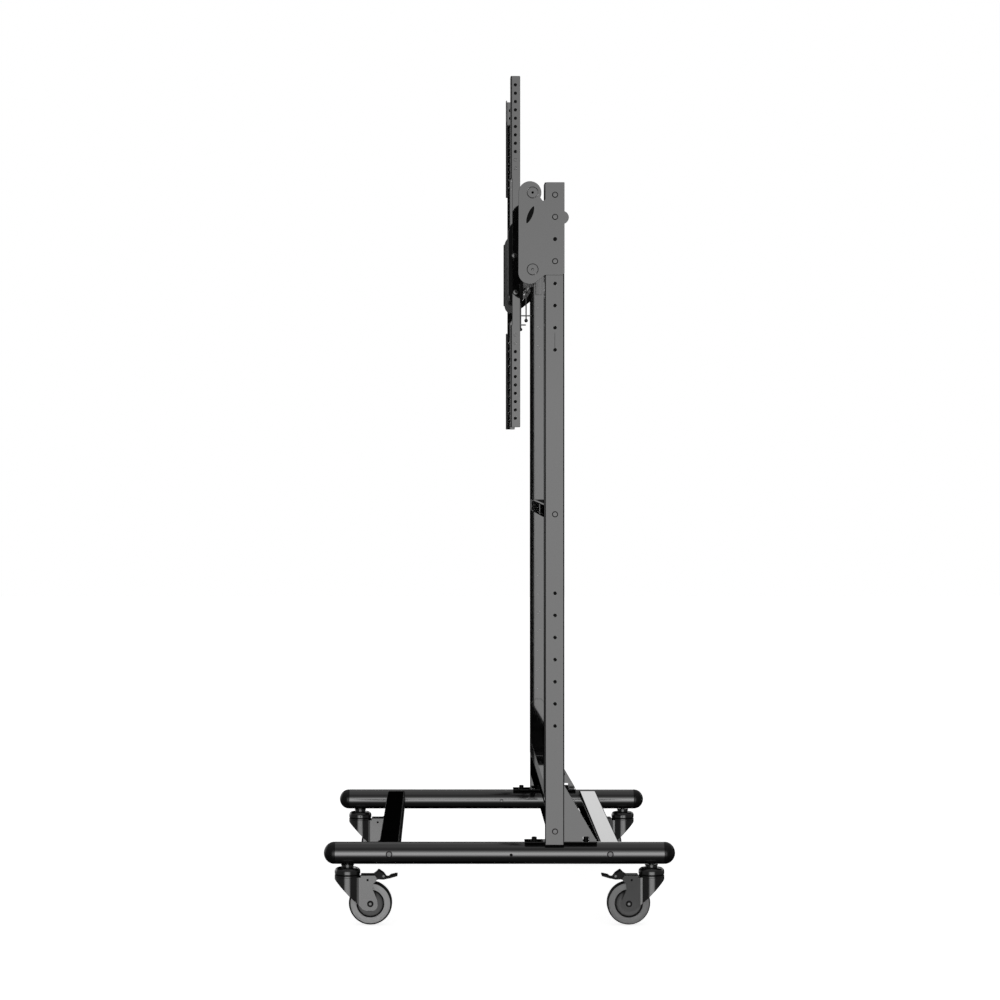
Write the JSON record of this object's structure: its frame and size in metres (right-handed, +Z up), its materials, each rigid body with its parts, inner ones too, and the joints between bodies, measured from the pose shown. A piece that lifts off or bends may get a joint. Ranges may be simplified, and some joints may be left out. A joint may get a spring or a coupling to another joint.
{
  "type": "television cart",
  "caption": "Rolling cart for a large television: tube base on braked swivel casters, tall channel columns, and tilting screen rails hooked over crosswise rods.",
  "frame": {"origin": "on the floor, at the centre of the base", "axes": "+Z up; the screen side faces -Y; +X is the right-hand side seen from the screen side's back"},
  "size_m": [1.0316, 0.8096, 1.9914],
  "materials": {
    "black_enamel": "glossy black baked enamel",
    "blackened_steel": "black oxide",
    "black_plastic": "satin",
    "grey_tyre": "satin"
  },
  "bodies": {
    "frame": {"base_tube_right": "black_enamel", "tube_cap_front_right": "black_plastic", "tube_cap_rear_right": "black_plastic", "column_right": "black_enamel", "column_foot_right": "black_enamel", "foot_bolt_front_right": "blackened_steel", "foot_bolt_rear_right": "blackened_steel", "column_bolt_right": "blackened_steel", "brace_bolt_right": "blackened_steel", "mount_side_plate_right": "black_enamel", "mount_bolts_right": "blackened_steel", "base_tube_left": "black_enamel", "tube_cap_front_left": "black_plastic", "tube_cap_rear_left": "black_plastic", "column_left": "black_enamel", "column_foot_left": "black_enamel", "foot_bolt_front_left": "blackened_steel", "foot_bolt_rear_left": "blackened_steel", "column_bolt_left": "blackened_steel", "brace_bolt_left": "blackened_steel", "mount_side_plate_left": "black_enamel", "mount_bolts_left": "blackened_steel", "crossbar_front": "black_enamel", "tie_rod_front": "blackened_steel", "caster_cup_front_right": "black_enamel", "caster_cup_front_left": "black_enamel", "crossbar_rear": "black_enamel", "tie_rod_rear": "blackened_steel", "caster_cup_rear_right": "black_enamel", "caster_cup_rear_left": "black_enamel", "lower_brace": "black_enamel", "mid_brace": "black_enamel", "upper_rod": "black_enamel", "lower_rod": "black_enamel"},
    "fork_front_right": {"caster_fork_front_right": "black_enamel", "caster_axle_front_right": "blackened_steel"},
    "wheel_front_right": {"caster_wheel_front_right": "grey_tyre"},
    "brake_front_right": {"caster_brake_front_right": "black_enamel"},
    "fork_front_left": {"caster_fork_front_left": "black_enamel", "caster_axle_front_left": "blackened_steel"},
    "wheel_front_left": {"caster_wheel_front_left": "grey_tyre"},
    "brake_front_left": {"caster_brake_front_left": "black_enamel"},
    "fork_rear_right": {"caster_fork_rear_right": "black_enamel", "caster_axle_rear_right": "blackened_steel"},
    "wheel_rear_right": {"caster_wheel_rear_right": "grey_tyre"},
    "brake_rear_right": {"caster_brake_rear_right": "black_enamel"},
    "fork_rear_left": {"caster_fork_rear_left": "black_enamel", "caster_axle_rear_left": "blackened_steel"},
    "wheel_rear_left": {"caster_wheel_rear_left": "grey_tyre"},
    "brake_rear_left": {"caster_brake_rear_left": "black_enamel"},
    "head_right": {"tilt_head_right": "black_enamel", "tilt_pivot_bolt_right": "blackened_steel", "tilt_lock_bolt_right": "blackened_steel"},
    "rail_right": {"screen_rail_right": "black_enamel"},
    "latch_right": {"safety_latch_right": "blackened_steel"},
    "head_left": {"tilt_head_left": "black_enamel", "tilt_pivot_bolt_left": "blackened_steel", "tilt_lock_bolt_left": "blackened_steel"},
    "rail_left": {"screen_rail_left": "black_enamel"},
    "latch_left": {"safety_latch_left": "blackened_steel"}
  },
  "joints": [
    {"name": "caster_swivel_front_right", "type": "hinge", "parent": "frame", "child": "fork_front_right", "pos_m": [0.4826, -0.3502, 0.11], "axis": [0, 0, 1], "continuous": true},
    {"name": "wheel_roll_front_right", "type": "hinge", "parent": "fork_front_right", "child": "wheel_front_right", "pos_m": [0.4826, -0.2972, 0.05], "axis": [1, 0, 0], "continuous": true},
    {"name": "brake_press_front_right", "type": "hinge", "parent": "fork_front_right", "child": "brake_front_right", "pos_m": [0.4826, -0.3034, 0.1046], "axis": [1, 0, 0], "range_deg": [-7, 0]},
    {"name": "caster_swivel_front_left", "type": "hinge", "parent": "frame", "child": "fork_front_left", "pos_m": [-0.4826, -0.3502, 0.11], "axis": [0, 0, 1], "continuous": true},
    {"name": "wheel_roll_front_left", "type": "hinge", "parent": "fork_front_left", "child": "wheel_front_left", "pos_m": [-0.4826, -0.2972, 0.05], "axis": [1, 0, 0], "continuous": true},
    {"name": "brake_press_front_left", "type": "hinge", "parent": "fork_front_left", "child": "brake_front_left", "pos_m": [-0.4826, -0.3034, 0.1046], "axis": [1, 0, 0], "range_deg": [-7, 0]},
    {"name": "caster_swivel_rear_right", "type": "hinge", "parent": "frame", "child": "fork_rear_right", "pos_m": [0.4826, 0.3502, 0.11], "axis": [0, 0, 1], "continuous": true},
    {"name": "wheel_roll_rear_right", "type": "hinge", "parent": "fork_rear_right", "child": "wheel_rear_right", "pos_m": [0.4826, 0.2972, 0.05], "axis": [1, 0, 0], "continuous": true},
    {"name": "brake_press_rear_right", "type": "hinge", "parent": "fork_rear_right", "child": "brake_rear_right", "pos_m": [0.4826, 0.3034, 0.1046], "axis": [1, 0, 0], "range_deg": [0, 7]},
    {"name": "caster_swivel_rear_left", "type": "hinge", "parent": "frame", "child": "fork_rear_left", "pos_m": [-0.4826, 0.3502, 0.11], "axis": [0, 0, 1], "continuous": true},
    {"name": "wheel_roll_rear_left", "type": "hinge", "parent": "fork_rear_left", "child": "wheel_rear_left", "pos_m": [-0.4826, 0.2972, 0.05], "axis": [1, 0, 0], "continuous": true},
    {"name": "brake_press_rear_left", "type": "hinge", "parent": "fork_rear_left", "child": "brake_rear_left", "pos_m": [-0.4826, 0.3034, 0.1046], "axis": [1, 0, 0], "range_deg": [0, 7]},
    {"name": "head_slide_right", "type": "slide", "parent": "frame", "child": "head_right", "axis": [1, 0, 0], "range_m": [-0.18, 0.26]},
    {"name": "rail_tilt_right", "type": "hinge", "parent": "head_right", "child": "rail_right", "pos_m": [0.23295, 0.04375, 1.472], "axis": [1, 0, 0], "range_deg": [0, 5]},
    {"name": "latch_pull_right", "type": "hinge", "parent": "head_right", "child": "latch_right", "pos_m": [0.2162, 0.05, 1.49], "axis": [1, 0, 0], "range_deg": [-14, 0]},
    {"name": "head_slide_left", "type": "slide", "parent": "frame", "child": "head_left", "axis": [-1, 0, 0], "range_m": [-0.18, 0.26]},
    {"name": "rail_tilt_left", "type": "hinge", "parent": "head_left", "child": "rail_left", "pos_m": [-0.23295, 0.04375, 1.472], "axis": [1, 0, 0], "range_deg": [0, 5]},
    {"name": "latch_pull_left", "type": "hinge", "parent": "head_left", "child": "latch_left", "pos_m": [-0.2162, 0.05, 1.49], "axis": [1, 0, 0], "range_deg": [-14, 0]}
  ]
}
